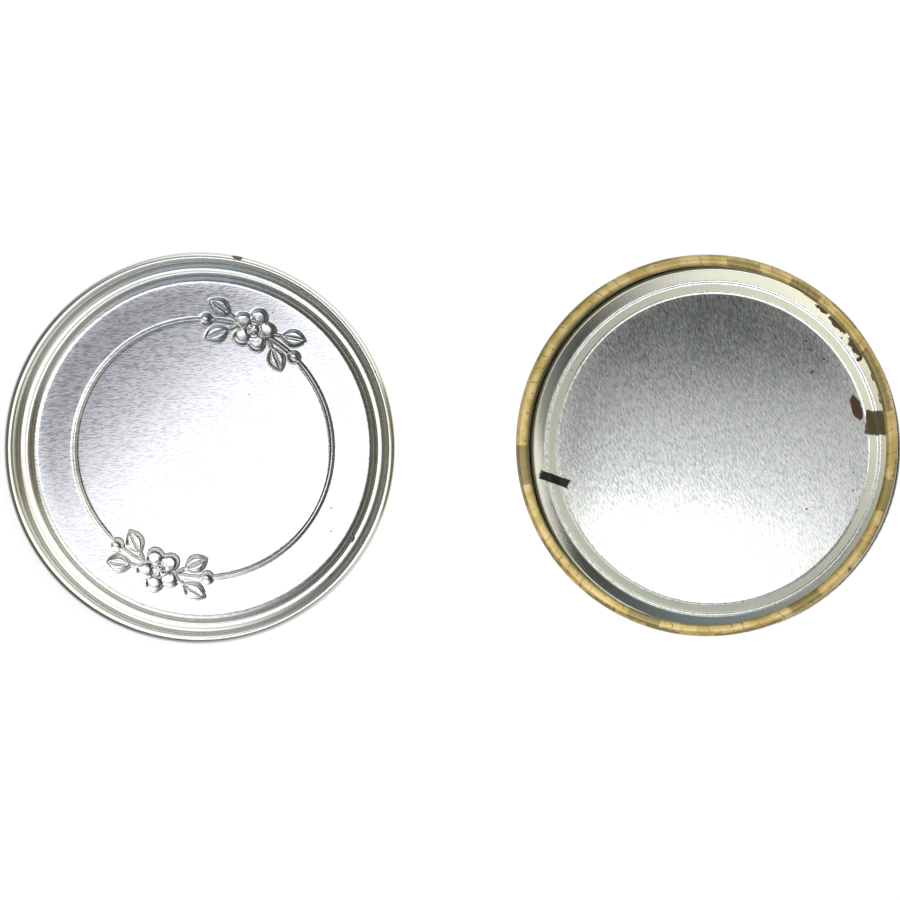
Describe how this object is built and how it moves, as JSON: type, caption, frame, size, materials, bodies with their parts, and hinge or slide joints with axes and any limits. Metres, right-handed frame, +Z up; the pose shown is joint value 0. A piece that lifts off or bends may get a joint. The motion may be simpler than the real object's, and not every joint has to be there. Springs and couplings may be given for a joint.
{
  "type": "tea tin",
  "caption": "Round tinplate tea tin with a printed straight wall, a seamed bottom end and a slip lid that lies open beside it.",
  "frame": {"origin": "on the table, under the middle of the whole object's box, between the lid and the body", "axes": "+Z up along the body's axis, +X from the lid to the body, +Y away from the front"},
  "size_m": [0.1984, 0.0866, 0.09],
  "materials": {
    "gold_print": "gold-beige lithographed print over tinplate, glossy",
    "plain_tinplate": "rolled tinplate, satin",
    "bright_tinplate": "pressed bright tinplate, satin"
  },
  "bodies": {
    "tin_body": {"body_wall": "gold_print", "bottom_end": "plain_tinplate"},
    "tin_lid": {"lid": "bright_tinplate"}
  },
  "joints": [
    {"name": "lid_lift", "type": "slide", "parent": "tin_body", "child": "tin_lid", "axis": [0, 0, 1], "range_m": [0, 0.12]}
  ]
}
